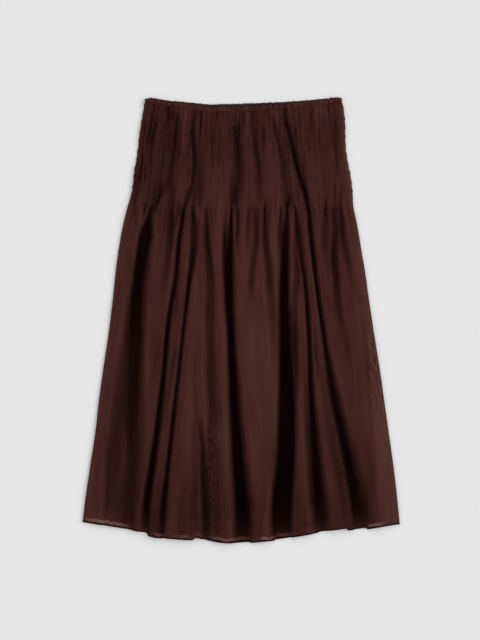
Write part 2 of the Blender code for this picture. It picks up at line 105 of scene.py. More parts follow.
# hollows between the soft folds, each at its own heights: x of the floor, share of the crest height
# that it takes away, width of the flat floor, and reach of the flank on its left and on its right
folds = {
    "leftWide": dict(
        y=(212, 182) + levels[1:], x=(-158, -165, -171, -184, -190, -193, -194, -203, -206),
        depth=(0.8, 0.93, 0.97, 0.98, 0.94, 0.86, 0.78, 0.72, 0.66), floor=(6, 9, 20, 11, 16, 9, 8, 4, 3),
        left=(9, 9, 8, 15, 34, 38, 26, 28, 30), right=(8, 9, 16, 27, 22, 28, 26, 30, 24)),
    "leftFaint": dict(
        y=levels[3:], x=(-208, -217, -229, -235, -238), depth=(0, 0.62, 0.65, 0.54, 0.42),
        floor=(10, 14, 18, 14, 10), left=(20, 24, 18, 18, 20), right=(20, 22, 28, 34, 36)),
    "leftShort": dict(
        y=(212, 194, 153, 72, 20), x=(-123, -123, -125, -136, -142), depth=(0.5, 0.72, 0.68, 0.35, 0),
        floor=3, left=14, right=8),
    "leftTwinA": dict(
        y=(212, 153, 72, 18, -36, -90, -144, -198, -252, -333, -392),
        x=(-98, -109, -117, -126.5, -132.8, -138, -144.2, -150, -157, -168, -171),
        depth=(0.85, 0.96, 0.86, 0.92, 0.96, 0.96, 0.96, 0.97, 0.98, 0.98, 0.98),
        floor=(3, 2, 2, 1, 1, 1, 2, 3, 4, 6, 6),
        left=(9, 7, 7, 7, 7, 7, 8, 9, 10, 15, 17), right=(9, 9, 10, 8, 11, 14, 14, 13, 12, 11, 9)),
    "leftTwinB": dict(
        y=(212, 153, 72, 18, -36, -90, -144, -252, -333, -392),
        x=(-87, -84.5, -91.4, -98, -104.6, -110.8, -117, -128.3, -137.8, -142),
        depth=(0.7, 0.8, 0.97, 0.88, 0.8, 0.84, 0.86, 0.9, 0.95, 0.88), floor=(3, 5, 1, 1, 1, 1, 1, 2, 4, 3),
        left=(9, 10, 8, 6, 5, 6, 7, 9, 12, 12), right=(20, 20, 8, 7, 8, 9, 8, 7, 9, 10)),
    "leftGentle": dict(
        y=levels[:4] + (-110, -162, -205, -262), x=(-62, -60, -53, -56, -55, -50, -50, -50),
        depth=(0.5, 0.8, 0.67, 0.64, 0.62, 0.6, 0.42, 0), floor=(2, 4, 3, 2, 6, 9, 10, 10),
        left=(12, 13, 20, 13, 18, 16, 14, 12), right=(10, 6, 12, 18, 22, 22, 20, 20)),
    "crumpled": dict(
        y=(-168, -185, -198, -215, -243, -270, -333, -392), x=(-72, -71.5, -71, -69, -67.5, -67, -64, -62),
        depth=(0, 0.35, 0.55, 0.62, 0.78, 0.85, 0.88, 0.88), floor=(3, 4, 4, 3, 3, 4, 4, 4),
        left=(5, 5, 5, 6, 8, 9, 12, 12), right=(8, 8, 8, 10, 12, 15, 17, 17)),
    "crumpledShelf": dict(
        y=(-205, -243, -300, -333, -392), x=(-47, -49, -51, -52, -52), depth=(0, 0.45, 0.56, 0.58, 0.5),
        floor=15, left=12, right=18),
    "leftGentleSide": dict(
        y=(-150, -200, -260, -333, -392), x=(-80, -81, -82, -85, -86), depth=(0, 0.32, 0.36, 0.4, 0.36),
        floor=8, left=13, right=15),
    "middle": dict(
        y=levels, x=(-15.5, -17, -21.5, -16.5, -11, -4, 2.5, 4),
        depth=(0.96, 0.97, 0.98, 0.99, 0.99, 1, 1, 1), floor=(2, 4, 10, 8, 9, 13, 15, 15),
        left=(4, 12, 9, 11, 17, 19, 23, 24), right=(7, 8, 15, 12, 18, 20, 29, 30)),
    "middleShortA": dict(
        y=(194, 176, 153, 110, 72), x=(-28, -28, -28, -28, -27), depth=(0.1, 0.45, 0.87, 0.85, 0.6),
        floor=3, left=8, right=11),
    "middleShortB": dict(
        y=(212, 194, 153, 120), x=(-3, -3, -6, -8), depth=(0.6, 0.75, 0.7, 0), floor=3, left=7, right=8),
    "shortA": dict(
        y=(212, 194, 153, 72, 30), x=(29, 28, 28.5, 19, 17), depth=(0.4, 0.6, 0.7, 0.52, 0),
        floor=2, left=13, right=9),
    "shortB": dict(
        y=(212, 194, 153, 110), x=(17, 15, 12.5, 12), depth=(0.3, 0.45, 0.5, 0), floor=2, left=8, right=10),
    "shortC": dict(
        y=(212, 153, 72, -36, -80), x=(43.5, 44.5, 52, 57.5, 59), depth=(0.6, 0.8, 0.62, 0.22, 0),
        floor=3, left=(8, 9, 15, 12, 12), right=(9, 10, 12, 11, 11)),
    "rightWide": dict(
        y=levels, x=(84, 81.5, 79, 80.5, 83.5, 82, 76, 75),
        depth=(0.8, 0.95, 0.98, 0.99, 0.99, 1, 1, 1), floor=(3, 6, 12, 15, 26, 31, 37, 34),
        left=(8, 9, 14, 13, 15, 16, 15, 11), right=(9, 10, 10, 11, 12, 10, 9, 9)),
    "rightWideLeft": dict(
        y=(212, 194, 153, 110), x=(72, 73, 72, 74), depth=(0.5, 0.65, 0.72, 0.5), floor=4, left=12, right=8),
    "rightWideShelf": dict(
        y=(150, 126, 72, 36, -36, -90, -130, -170), x=(97, 98, 99, 95, 96, 96.5, 96, 95),
        depth=(0.2, 0.45, 0.5, 0.55, 0.8, 0.75, 0.55, 0), floor=(3, 4, 3, 8, 9, 9, 8, 8),
        left=(9, 9, 6, 9, 9, 9, 9, 9), right=(8, 9, 10, 8, 8, 8, 8, 8)),
    "rightWideHem": dict(
        y=(-190, -252, -333, -392), x=(61, 60, 57, 55), depth=(0, 0.25, 0.3, 0.35),
        floor=8, left=10, right=10),
    "rightTwinA": dict(
        y=levels, x=(98, 103, 115.2, 123.5, 127.8, 135.2, 141.5, 145),
        depth=(0.7, 0.86, 0.84, 0.93, 0.97, 0.98, 0.98, 0.97), floor=(2, 3, 1, 1, 3, 6, 8, 8),
        left=(8, 9, 6, 7, 10, 17, 26, 26), right=(3, 14, 8, 9, 10, 21, 22, 24)),
    "rightTwinNotch": dict(
        y=(10, -18, -54, -90, -125), x=(131, 132.5, 134, 138, 140), depth=(0, 0.3, 0.5, 0.35, 0), floor=2,
        left=5, right=6),
    "rightTwinShelf": dict(
        y=levels[3:7], x=(116.5, 119, 123, 128), depth=(0.3, 0.5, 0.55, 0.5), floor=5, left=10, right=8),
    "rightTwinB": dict(
        y=levels, x=(121.5, 127, 136, 151.4, 169.4, 192.6, 207, 215),
        depth=(0.92, 0.94, 0.92, 0.88, 0.97, 0.99, 0.99, 0.99), floor=(8, 3, 2, 1, 2, 7, 10, 10),
        left=(9, 8, 6, 6, 19, 18, 15, 14), right=(12, 7, 8, 9, 20, 28, 34, 36)),
    "rightTwinFoot": dict(
        y=(-250, -300, -345, -392), x=(222, 228, 231, 233), depth=(0, 0.32, 0.36, 0.3),
        floor=8, left=14, right=16),
    "rightTwinSlope": dict(
        y=levels[2:], x=(138, 144, 153, 172, 188, 195), depth=(0, 0.32, 0.3, 0.36, 0.42, 0.46),
        floor=6, left=16, right=15),
    "rightShortA": dict(
        y=(212, 194, 153, 120, 90, 60), x=(152, 152, 152, 153, 158, 161),
        depth=(0.5, 0.6, 0.66, 0.42, 0.35, 0),
        floor=3, left=(14, 14, 14, 12, 8, 8), right=(12, 12, 12, 10, 8, 8)),
    "rightShortB": dict(
        y=(212, 153, 110, 72, 18, -36, -90), x=(167, 170, 168, 171.5, 175, 186, 192),
        depth=(0.65, 0.76, 0.8, 0.76, 0.55, 0.18, 0), floor=3, left=13, right=12),
    "rightStreak": dict(
        y=(20, -18, -54, -90, -130), x=(218, 221, 224.5, 228, 232), depth=(0, 0.3, 0.4, 0.34, 0),
        floor=3, left=8, right=7),
    "rightShortC": dict(
        y=(212, 153, 72, 20), x=(179.5, 184, 199, 207), depth=(0.65, 0.8, 0.32, 0),
        floor=3, left=12, right=13),
    "leftTwinShelf": dict(
        y=(70, 40, 8, -20), x=(-116, -120, -124, -129), depth=(0, 0.45, 0.4, 0), floor=8, left=8, right=13),
    "leftTwinRidge": dict(
        y=(-30, -72, -126, -170), x=(-116, -121, -130, -137), depth=(0, 0.4, 0.3, 0),
        floor=5, left=8, right=8),
    "leftEdgeShort": dict(
        y=(212, 194, 160), x=(-188, -188, -190), depth=(0.45, 0.45, 0), floor=2, left=8, right=8),
}

# how far right of a floor its darkest line lies, below the release and in the yoke
darkLine = {"right": (1.8, 0.8), "over": 20.0}

pinch = {"keep": 0.5, "reach": 45.0, "narrow": 0.8}  # how the flanks draw in towards the release
# how far below the release the folds are half open, and the lengths over which folds and creases fade
fades = {"below": 2.0, "release": 16.0, "foldTop": 16.0, "foldEnd": 24.0,
         "creaseTop": 10.0, "creaseEnd": 16.0}

# creases pressed into the tucked yoke: y downwards, x at each y, how deep, and half the width
creaseRows = (
    ((335, 290, 250, 232, 200), (-81, -77, -75, -75, -77), (0.15, 0.5, 0.62, 0.62, 0.5), 14.0),
    ((350, 300, 260, 230, 190), (-8, -5, -3, -8, -11), (0.3, 0.45, 0.5, 0.55, 0.55), 17.0),
    ((330, 290, 250, 205), (76, 78, 79, 86), (0.2, 0.4, 0.5, 0.55), 14.0),
    ((390, 340, 300), (30, 30, 32), (0.0, 0.15, 0.2), 18.0),
    ((250, 225, 196), (-150, -153, -160), (0.2, 0.5, 0.5), 16.0),
    ((275, 250, 225), (-183, -186, -189), (0.3, 0.5, 0.3), 9.0),
    ((262, 235, 205), (-127, -126, -124), (0.2, 0.4, 0.4), 13.0),
    ((366, 342, 315, 288, 270, 246), (-172, -174, -177, -177, -179, -183),
     (0.3, 0.55, 0.5, 0.8, 0.85, 0.5), 4.5),
    ((378, 360, 342, 324, 303), (-161, -161, -164, -168, -170), (0.3, 0.55, 0.68, 0.78, 0.3), 4.0),
    ((285, 261, 240), (-172, -172, -174), (0.4, 0.6, 0.3), 3.5),
    ((378, 360, 342, 324, 306, 276), (-152, -152, -156, -159, -161, -163),
     (0.1, 0.4, 0.75, 0.83, 0.65, 0.4), 4.5),
    ((386, 372, 352), (-142, -142, -144), (0.15, 0.3, 0.1), 4.0),
    ((386, 366, 350), (-128.5, -128.5, -129), (0.5, 0.6, 0.1), 3.0),
    ((386, 366, 350), (-121.5, -121, -120), (0.5, 0.6, 0.1), 3.0),
    ((368, 342, 324, 306, 270, 252, 236), (-114, -116, -118, -121, -127, -128.5, -134),
     (0.5, 0.72, 0.75, 0.72, 0.65, 0.6, 0.3), 5.5),
    ((316, 306, 294), (-132, -132, -131), (0.4, 0.65, 0.3), 3.0),
    ((245, 225, 210, 196), (-138, -145, -151, -158), (0.4, 0.7, 0.8, 0.85), 6.5),
    ((216, 205, 192), (-167, -169, -171), (0.35, 0.6, 0.6), 5.0),
    ((236, 222, 205), (-189, -191, -192), (0.3, 0.45, 0.3), 4.5),
    ((240, 220, 200), (-118, -121, -123), (0.4, 0.55, 0.6), 4.0),
    ((386, 366, 342, 324, 288, 270, 250, 232, 214, 196),
     (-79, -84, -87, -86, -83.5, -84, -86, -92, -98, -104),
     (0.4, 0.65, 0.77, 0.75, 0.78, 0.78, 0.65, 0.6, 0.8, 0.85), 7.0),
    ((236, 222, 206), (-84, -83, -83), (0.3, 0.4, 0.4), 5.0),
    ((206, 197, 188, 178), (-108, -109, -110, -113), (0.2, 0.6, 0.5, 0.2), 4.0),
    ((218, 205, 192, 176), (-173, -173, -173, -174), (0.2, 0.4, 0.55, 0.1), 5.0),
    ((216, 205, 194, 182), (83, 83, 83, 84), (0.2, 0.42, 0.4, 0.1), 9.0),
    ((382, 360, 342, 320), (-71, -71, -73, -73), (0.5, 0.65, 0.65, 0.3), 3.5),
    ((386, 372, 350), (-43, -42, -44), (0.35, 0.48, 0.1), 3.0),
    ((336, 320, 290, 262), (-51, -52, -51.5, -50), (0.3, 0.6, 0.5, 0.2), 4.0),
    ((384, 372, 350), (-33, -32, -31), (0.45, 0.45, 0.1), 3.0),
    ((384, 366, 346), (-24, -23, -22), (0.45, 0.5, 0.1), 3.0),
    ((378, 360, 342, 324, 306, 288, 270, 248, 228, 208), (-9, -10, -9.5, -7, -4, -3, -2.5, -7, -11, -12),
     (0.3, 0.5, 0.62, 0.68, 0.66, 0.6, 0.52, 0.5, 0.58, 0.62), 14.0),
    ((350, 330, 318), (-13, -10, -9), (0.35, 0.4, 0.2), 5.0),
    ((352, 336, 322), (1, 1, 0), (0.35, 0.4, 0.1), 4.5),
    ((275, 258, 241, 225, 208), (-16, -17, -18, -17, -16), (0.1, 0.3, 0.4, 0.35, 0.2), 8.0),
    ((255, 241, 225, 210), (2, 2, 1, 0), (0.2, 0.35, 0.3, 0.2), 5.0),
    ((384, 358, 342), (4.5, 4.5, 5), (0.5, 0.6, 0.1), 3.5),
    ((384, 360, 324, 306, 284, 252, 212), (20, 22, 25, 26.5, 31, 32.5, 34.5),
     (0.5, 0.6, 0.7, 0.72, 0.7, 0.55, 0.3), 9.0),
    ((388, 362, 348), (29.5, 30, 31), (0.5, 0.58, 0.1), 3.0),
    ((350, 333, 315), (40, 40.5, 41), (0.3, 0.5, 0.2), 4.0),
    ((384, 360, 345), (48, 49.5, 51), (0.4, 0.45, 0.1), 3.0),
    ((366, 342, 324, 306, 288, 258), (58, 62, 66, 69.5, 74, 77), (0.6, 0.58, 0.6, 0.55, 0.5, 0.3), 4.5),
    ((228, 212, 200), (89, 86, 84), (0.4, 0.72, 0.78), 4.5),
    ((222, 209, 198), (92.5, 94.5, 95), (0.35, 0.5, 0.3), 4.0),
    ((219, 208, 198), (78, 77.5, 76), (0.3, 0.4, 0.2), 3.5),
    ((386, 360, 342, 306, 270, 252, 216, 196), (78, 81, 86, 94, 103, 108.5, 119, 123),
     (0.6, 0.85, 0.92, 0.95, 0.94, 0.96, 0.97, 0.97), 10.0),
    ((335, 306, 284, 263, 240, 215), (98, 102, 108, 113, 117, 122), (0.3, 0.4, 0.45, 0.5, 0.4, 0.3), 5.0),
    ((384, 360, 346), (103.5, 105, 106), (0.4, 0.4, 0.1), 3.0),
    ((350, 342, 326), (98, 98, 99), (0.3, 0.55, 0.3), 3.5),
    ((384, 360, 338), (125, 127, 125), (0.42, 0.5, 0.4), 5.0),
    ((372, 360, 346), (148, 148, 148), (0.3, 0.5, 0.2), 4.0),
    ((384, 342, 297, 260), (169, 172, 172, 172), (0.3, 0.45, 0.45, 0.4), 5.5),
    ((352, 320, 300), (162, 166, 168.5), (0.2, 0.42, 0.2), 3.5),
    ((246, 225, 205), (168, 168, 166), (0.3, 0.5, 0.6), 3.5),
    ((246, 216, 196), (181, 179.5, 179), (0.3, 0.55, 0.65), 4.0),
    ((232, 210, 196), (154, 154, 153), (0.3, 0.58, 0.6), 4.0),
    ((220, 204, 192), (46, 44.5, 43.5), (0.2, 0.45, 0.55), 3.5),
    # a negative depth is a lit ridge between creases
    ((386, 372, 350, 320, 300), (-103, -103, -103, -104, -103), (-0.2, -0.35, -0.5, -0.45, -0.1), 7.5),
    ((384, 366, 345, 310, 290), (-58, -58, -57, -59, -60), (-0.15, -0.25, -0.3, -0.25, -0.1), 6.0),
    ((350, 327, 306, 290), (74.5, 75, 79, 83), (-0.2, -0.35, -0.3, -0.1), 4.5),
    ((362, 345, 327, 306, 284, 263), (109, 110, 111, 116, 122, 127),
     (-0.2, -0.3, -0.25, -0.25, -0.35, -0.15), 6.0),
    ((380, 366, 345), (-137, -137, -138), (-0.2, -0.35, -0.2), 5.0),
)
yokeCreases = [dict(zip(("y", "x", "depth", "half"), row)) for row in creaseRows]


def through(xs, values, at):
    # smooth curve through values at falling stations: cubic pieces with slopes from the neighbours
    places = np.asarray(xs, float)[::-1]
    heights = np.asarray(values, float)[::-1]
    slopes = np.gradient(heights, places)
    at = np.clip(at, places[0], places[-1])
    left = np.clip(np.searchsorted(places, at, side="right") - 1, 0, len(places) - 2)
    span = places[left + 1] - places[left]
    t = (at - places[left]) / span
    ease = t * t * (3 - 2 * t)
    out = heights[left] * (1 - ease) + heights[left + 1] * ease
    return out + slopes[left] * span * t * (1 - t) ** 2 - slopes[left + 1] * span * t * t * (1 - t)


def eased(t):
    # 0 below zero, 1 above one, and 3tt - 2ttt between them
    t = np.clip(t, 0, 1)
    return t * t * (3 - 2 * t)


def fadedIn(distance, over):
    # 0 to 1 while the distance goes from half of over below zero to half of it above
    return eased((distance + over / 2) / over)


def bump(t):
    # 1 at zero, falling as a cosine to 0 at plus and minus one
    return 0.5 + 0.5 * np.cos(math.pi * np.clip(t, -1, 1))


def side(name, y):
    # x of one side edge: a curve through the outline, with two short waves added in the yoke
    first, second = outline["wobbleWaves"]
    waves = np.sin(y / first) + outline["wobbleSecond"] * np.sin(y / second + outline["wobbleTurn"])
    waves = outline["wobble"] * waves * eased((y - release) / outline["wobbleReach"])
    return through(outline["y"], outline[name], y) + waves


def foldX(fold, y):
    # the tables give the darkest line, which lies right of the floor under light from the right
    shift = np.interp(y, (release, release + darkLine["over"]), darkLine["right"])
    return through(fold["y"], fold["x"], y) - shift


def along(fold, name, y):
    # a value of the table at heights y, straight between its rows
    value = fold[name]
    if isinstance(value, (int, float)):
        return value
    return np.interp(-y, -np.array(fold["y"], float), value)


def hollow(fold, x, y):
    # 1 on the floor of a hollow, falling as a cosine to 0 up each of its flanks
    off = x - foldX(fold, y)
    opened = eased((release - y) / pinch["reach"])
    drawn = pinch["narrow"] * (pinch["keep"] + (1 - pinch["keep"]) * opened)
    beyond = np.clip(np.abs(off) - drawn * along(fold, "floor", y) / 2, 0, None)
    return bump(beyond / drawn / np.where(off < 0, along(fold, "left", y), along(fold, "right", y)))


def foldHeight(x, y):
    # crest height less every hollow, low along the side edges; the second value is how deep in a fold,
    # which is painted as shade
    kept = np.ones_like(x)
    tucked = fadedIn(release - fades["below"] - y, fades["release"])
    for fold in folds.values():
        opened = tucked * fadedIn(fold["y"][0] - y, fades["foldTop"])
        if along(fold, "depth", fold["y"][-1]) > 0 and fold["y"][-1] > levels[-1]:
            opened = opened * fadedIn(y - fold["y"][-1], fades["foldEnd"])
        kept = kept * (1 - along(fold, "depth", y) * opened * hollow(fold, x, y))
    for crease in yokeCreases:
        fromTop, fromEnd = crease["y"][0] - y, y - crease["y"][-1]
        fade = fadedIn(fromTop, fades["creaseTop"]) * fadedIn(fromEnd, fades["creaseEnd"])
        across = bump((x - foldX(crease, y)) / crease["half"])
        kept = kept * (1 - along(crease, "depth", y) * fade * across)
    fromEdge = np.minimum(x - side("left", y), side("right", y) - x)
    edge = outline["edgeShare"] + (1 - outline["edgeShare"]) * eased(fromEdge / outline["edgeReach"])
    return through(outline["y"], outline["crest"], y) * kept * edge, 1 - kept


def waistY(x):
    # the back waist edge, straight between its points
    return np.interp(x, waistLine["x"], waistLine["y"])


def frontWaistY(x):
    # the front waist edge: the back one less a cosine dip with a flattened floor
    off = (x - waistLine["dipMiddle"]) / waistLine["dipReach"]
    return waistY(x) - waistLine["dip"] * bump(off) ** waistLine["dipFlat"]


def arched(middle, ends, x):
    # a parabola across the hem, with its value in the middle and at both ends
    return middle + (ends - middle) * (x / outline["halfHem"]) ** 2


def hemArc(x):
    # the hem without its waves
    return arched(hemLine["arcMiddle"], hemLine["arcSide"], x)


def hemY(x):
    # lobe by lobe, with a short step where one fold ends over the next
    rights = hemLine["left"][1:] + (outline["halfHem"],)
    lobes = zip(hemLine["left"], rights, hemLine["yLeft"], hemLine["yRight"], hemLine["belly"])
    out = np.full_like(x, hemLine["yLeft"][0])
    for left, right, yLeft, yRight, belly in lobes:
        share = np.clip((x - left) / (right - hemLine["step"] - left), 0, 1)
        line = yLeft + (yRight - yLeft) * share - belly * np.sin(math.pi * share)
        out = out + (line - out) * eased((x - left + hemLine["step"]) / hemLine["step"])
    return out


def backHemY(x):
    # a smooth arc a little above the front hem, and nowhere nearer to it than the gap
    rise = arched(hemLine["backRiseMiddle"], hemLine["backRiseSide"], x)
    return np.maximum(hemArc(x) + rise, hemY(x) + hemLine["backGap"])


# tucks between one long fold and the next, and the mesh columns given to each tuck
bands = {
    "endsAt": ("leftWide", "leftTwinA", "leftTwinB", "leftGentle", "middle", "rightWide", "rightTwinA",
               "rightTwinB"),
    "tucks": (4, 6, 2, 2, 5, 10, 2, 2, 8),
    "columns": (9, 7, 10, 14, 9, 8, 14, 14, 8),
}

# the ridge of a tuck and the lap beside it: heights, and shares of the tuck where the crest and foot lie
tucks = {
    "height": 1.5,
    "crest": 0.13,
    "foot": 0.27,
    "ridgeColumns": (0, 0.5, 0.8, 1.0, 1.2, 1.55, 2.08),  # in shares of the crest's place
    "lapArch": 0.6,
    "flare": 75.0,
    "flareSpread": (0.6, 1.5),
    "swell": 0.9,
    "yokeFade": 40.0,
    "shownBelow": 0.6,
    # how strongly the tucks show across the yoke: just under the casing, and further down
    "showAtX": (-185, -110, -60, 0, 80, 105, 190),
    "showTop": (1.1, 1.1, 1.1, 1.1, 1.1, 0.95, 0.85),
    "showLow": (0.95, 0.8, 0.38, 0.42, 0.38, 0.3, 0.34),
    "topReach": 36.0,
    # painted shade in the gap on each side of a ridge
    "shade": 0.5,
    "gapHalf": 0.12,
    "gapSpread": (0.2, 1.3),
    "gapAtFoot": 0.6,
    "gapMost": 0.8,
    # the tucks press in and fade in patches: waves of the noise, its mean and swing, and its limits
    "patchWaves": (20.0, 70.0, 31),
    "patchMean": 0.65,
    "patchSwing": 0.5,
    "patchLimits": (0.1, 1.5),
}


def guideLines(y):
    # x of the side edges and the long folds; above the release they fan up to the waist
    left, right = side("left", y), side("right", y)
    startLeft, startRight = side("left", release), side("right", release)
    lines = [left]
    for name in bands["endsAt"]:
        share = (foldX(folds[name], release) - startLeft) / (startRight - startLeft)
        lines.append(np.where(y > release, left + share * (right - left), foldX(folds[name], y)))
    return np.stack(lines + [right])


def tuckColumns():
    # per mesh column: band, place in it while tucked, place when released, phase in the tuck, tuck number
    rows = []
    number = 0
    for band, (count, columns) in enumerate(zip(bands["tucks"], bands["columns"])):
        ridge = np.array(tucks["ridgeColumns"]) * tucks["crest"]
        spare = columns - len(ridge)
        laps = tucks["foot"] + (1 - tucks["foot"]) * np.arange(1, spare + 1) / (spare + 1)
        phases = np.concatenate([ridge, laps])
        for tuck in range(count):
            for step, phase in enumerate(phases):
                rows.append((band, (tuck + phase) / count, (tuck + step / columns) / count, phase, number))
            number += 1
    rows.append((len(bands["tucks"]) - 1, 1.0, 1.0, 0.0, number - 1))
    return np.array(rows)


columnTable = tuckColumns()
tuckCount = sum(bands["tucks"])


def columnX(y):
    # x of every mesh column at heights y (rows, columns)
    lines = guideLines(y)
    band = columnTable[:, 0].astype(int)
    tuckedPlace, freePlace = columnTable[:, 1], columnTable[:, 2]
    place = tuckedPlace + (freePlace - tuckedPlace) * eased((release - y) / tucks["flare"])
    index = np.arange(len(columnTable))
    start, end = lines[band, :, index].T, lines[band + 1, :, index].T
    return start + (end - start) * place


def softNoise(x, y, waveX, waveY, seed, waves=14):
    # a sum of slanted waves about waveX by waveY long, height about one; the seed fixes their lie
    r = np.random.default_rng(seed)
    kx = r.normal(0, 1, waves) * 2 * math.pi / waveX
    ky = r.normal(0, 1, waves) * 2 * math.pi / waveY
    phase = r.uniform(0, 2 * math.pi, waves)
    parts = np.cos(x[..., None] * kx + y[..., None] * ky + phase)
    return parts.sum(-1) / math.sqrt(waves / 2)


def meshFrom(name, points, faces):
    # a smooth mesh from points in millimetres and faces of equal size
    mesh = bpy.data.meshes.new(name)
    mesh.vertices.add(len(points))
    mesh.vertices.foreach_set("co", (points * mm).astype(np.float32).ravel())
    faces = np.asarray(faces, np.int32)
    mesh.loops.add(faces.size)
    mesh.loops.foreach_set("vertex_index", faces.ravel())
    mesh.polygons.add(len(faces))
    mesh.polygons.foreach_set("loop_start", np.arange(0, faces.size, faces.shape[1], dtype=np.int32))
    mesh.update(calc_edges=True)
    mesh.validate()
    mesh.shade_smooth()
    piece = bpy.data.objects.new(name, mesh)
    bpy.context.scene.collection.objects.link(piece)
    return piece


def gridFaces(rows, columns, closed=False):
    # a quad between each four neighbours; a closed grid joins its last row to its first
    ids = np.arange(rows * columns).reshape(rows, columns)
    if closed:
        ids = np.vstack([ids, ids[:1]])
    return np.stack([ids[:-1, :-1], ids[1:, :-1], ids[1:, 1:], ids[:-1, 1:]], axis=-1).reshape(-1, 4)


def gridPoints(x, y, z):
    # the points row by row, from three arrays that fit one shape
    return np.stack(np.broadcast_arrays(x, y, z), axis=-1).reshape(-1, 3)


def ovalRing(points, squareness, width, thick):
    # a super-ellipse, width by thick: the cosine and sine of the turn, each drawn out by 2 / squareness
    turn = np.linspace(0, 2 * math.pi, points, endpoint=False)
    wide, high = [np.sign(part) * np.abs(part) ** (2 / squareness) for part in (np.cos(turn), np.sin(turn))]
    return (wide * width / 2)[:, None], (high * thick / 2)[:, None]


def addMap(piece, u, v):
    # a UV map in metres along the cloth, read at every corner from its vertex
    loops = np.empty(len(piece.data.loops), np.int32)
    piece.data.loops.foreach_get("vertex_index", loops)
    uv = np.stack(np.broadcast_arrays(u, v), axis=-1).reshape(-1, 2)[loops] * mm
    piece.data.uv_layers.new(name="cloth").data.foreach_set("uv", uv.astype(np.float32).ravel())


def addValue(piece, name, values):
    # a number for each vertex, which the materials read
    layer = piece.data.attributes.new(name, "FLOAT", "POINT")
    layer.data.foreach_set("value", np.ascontiguousarray(values, np.float32).ravel())


def thicken(piece, wall):
    # the surface is the outer side, and the wall grows from it to the inside
    shell = piece.modifiers.new("wall", "SOLIDIFY")
    shell.thickness = wall * mm
    shell.offset = -1.0


def finishPiece(piece, material, slotName, *nodes):
    # its material, the body it rides on, and the nodes of the CAD that it stands for; slotName is not used
    piece.data.materials.append(material)
    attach(piece, "root")
    if nodes:
        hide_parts(*nodes)


# camera straight above, so that 480 pixels span 864 mm on the cloth
view = {"height": 2.4, "spanY": 1.152, "sensor": 24.0, "middleX": -0.0020, "middleY": 0.0007}
cameraData = bpy.data.cameras.new("camera")
cameraData.sensor_fit = "VERTICAL"
cameraData.sensor_height = view["sensor"]
cameraData.lens = view["sensor"] * view["height"] / view["spanY"]
camera = bpy.data.objects.new("camera", cameraData)
camera.location = (view["middleX"], view["middleY"], view["height"])
bpy.context.scene.collection.objects.link(camera)
bpy.context.scene.camera = camera


def newMaterial(name, roughness):
    # a matt material and its shader
    material = bpy.data.materials.new(name)
    material.use_nodes = True
    shader = material.node_tree.nodes["Principled BSDF"]
    shader.inputs["Roughness"].default_value = roughness
    shader.inputs["Specular IOR Level"].default_value = 0.0
    return material, shader


def addNode(tree, kind, x=0, y=0, **settings):
    # a node at x, y in the editor, with its settings
    node = tree.nodes.new(kind)
    node.location = (x, y)
    for name, value in settings.items():
        setattr(node, name, value)
    return node


def feed(tree, socket, value):
    # a number or colour is set on the socket, and another node's output is linked to it
    if isinstance(value, (int, float, tuple)):
        socket.default_value = value
    else:
        tree.links.new(value, socket)


def mathNode(tree, operation, values, x=0, y=0, clamp=False):
    # one operation on one or two values
    node = addNode(tree, "ShaderNodeMath", x, y, operation=operation, use_clamp=clamp)
    for socket, value in zip(node.inputs, values):
        feed(tree, socket, value)
    return node.outputs[0]


def mixColour(tree, amount, first, second, x=0, y=0):
    # the first colour at amount 0 and the second at 1
    node = addNode(tree, "ShaderNodeMix", x, y, data_type="RGBA")
    for index, value in ((0, amount), (6, first), (7, second)):
        feed(tree, node.inputs[index], value)
    return node.outputs[2]


def rangeNode(tree, value, source, target=(0.0, 1.0), x=0, y=0, kind="LINEAR"):
    # the value's place between two limits, carried over to two other limits
    node = addNode(tree, "ShaderNodeMapRange", x, y, interpolation_type=kind)
    for name, number in zip(("From Min", "From Max", "To Min", "To Max"), (*source, *target)):
        node.inputs[name].default_value = number
    tree.links.new(value, node.inputs["Value"])
    return node.outputs["Result"]


def addRelief(tree, shader, height, depth, strength=1.0, x=0, y=0):
    # bump that changes the shader's normal
    node = addNode(tree, "ShaderNodeBump", x, y)
    node.inputs["Strength"].default_value = strength
    node.inputs["Distance"].default_value = depth
    tree.links.new(height, node.inputs["Height"])
    tree.links.new(node.outputs["Normal"], shader.inputs["Normal"])


# threads in radians a metre; each stretched noise has its scale per metre across and along, and its detail
weave = {
    "thread": 2800.0,
    "slub": 0.5,
    "warpSlub": (330.0, 8.0, 4.0),  # long thick places in the warp
    "weftSlub": (25.0, 700.0, 2.0),  # shorter ones in the weft
    "drift": (45.0, 7.0, 4.0),  # slow change of tone
    "weftShare": 0.6,
    "crossing": 0.25,
    "slubTone": 0.5,
}


